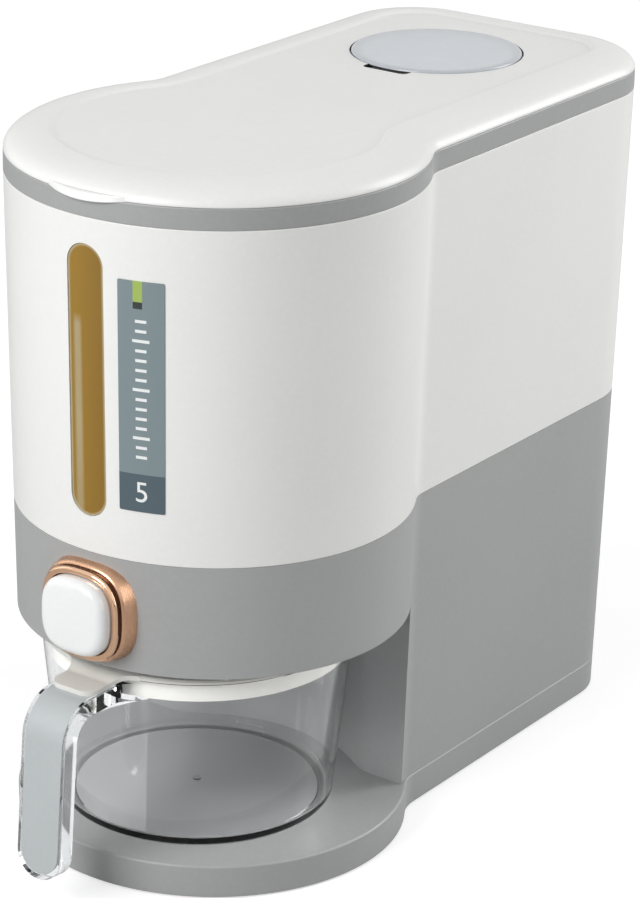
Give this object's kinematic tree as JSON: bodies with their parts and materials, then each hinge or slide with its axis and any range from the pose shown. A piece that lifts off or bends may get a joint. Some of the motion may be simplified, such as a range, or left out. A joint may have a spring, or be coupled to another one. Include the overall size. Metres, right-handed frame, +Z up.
{
  "type": "rice dispenser",
  "caption": "Countertop rice dispenser: keyhole-shaped container with a lid, push button that swings a gate, and a clear handled measuring cup that pulls out from under the head.",
  "frame": {"origin": "on the table, under the middle of the whole width and length, the cup's grip included", "axes": "+Z up, -Y towards the user (button and cup side), +X to the right as the user sees it"},
  "size_m": [0.184, 0.3732, 0.324],
  "materials": {
    "white_body": "satin warm white ABS",
    "grey_body": "satin mid grey ABS",
    "grey_rim": "satin mid grey ABS",
    "rose_gold": "polished rose gold plating",
    "white_button": "gloss white",
    "amber_clear": "clear amber",
    "clear": "clear, polished",
    "smoky_clear": "pale blue translucent",
    "label": "printed film",
    "insert_grey": "satin light grey",
    "cream": "satin cream white",
    "rubber": "matte",
    "seal": "soft translucent silicone",
    "steel": "plain",
    "inner_white": "food-grade natural white",
    "inner_grey": "moulded grey acetal"
  },
  "bodies": {
    "housing": {"base_tray": "grey_body", "bottom_plate": "inner_grey", "rubber_feet": "rubber", "base_screws": "steel", "column_screws": "steel", "lower_body": "grey_body", "head_floor": "grey_body", "head_screws": "steel", "hopper": "inner_white", "gate_frame": "inner_white", "frame_screws": "steel", "gate_pin": "steel", "gate_spring": "steel", "button_bezel": "rose_gold", "button_guide": "inner_grey", "return_spring": "steel", "upper_container": "white_body", "window_lens": "amber_clear", "window_seal": "seal", "label_plate": "label", "rim_band": "grey_rim"},
    "button": {"button_cap": "white_button", "push_rod": "inner_grey", "rod_clip": "steel"},
    "gate": {"gate_flap": "inner_grey"},
    "lid": {"lid": "white_body", "lid_seal": "seal", "desiccant_basket": "inner_white"},
    "cap": {"moisture_cap": "smoky_clear", "cap_seal": "seal"},
    "cup": {"measuring_cup": "clear", "cup_handle": "clear", "handle_insert": "insert_grey", "cup_collar": "cream"}
  },
  "joints": [
    {"name": "button_push", "type": "slide", "parent": "housing", "child": "button", "axis": [0, 1, 0], "range_m": [0, 0.006], "stiffness_N_per_m": 250, "deforming": ["return_spring"]},
    {"name": "gate_swing", "type": "hinge", "parent": "housing", "child": "gate", "pos_m": [0, -0.0994, 0.121], "axis": [-1, 0, 0], "range_deg": [0, 28.7]},
    {"name": "lid_lift", "type": "slide", "parent": "housing", "child": "lid", "axis": [0, 0, 1], "range_m": [0, 0.08]},
    {"name": "cap_lift", "type": "slide", "parent": "lid", "child": "cap", "axis": [0, 0, 1], "range_m": [0, 0.03]},
    {"name": "cup_slide", "type": "slide", "parent": "housing", "child": "cup", "axis": [0, -1, 0], "range_m": [0, 0.165]}
  ],
  "couplings": [
    {"joint": "gate_swing", "follows": "button_push", "rad_per_m": 83.333}
  ]
}
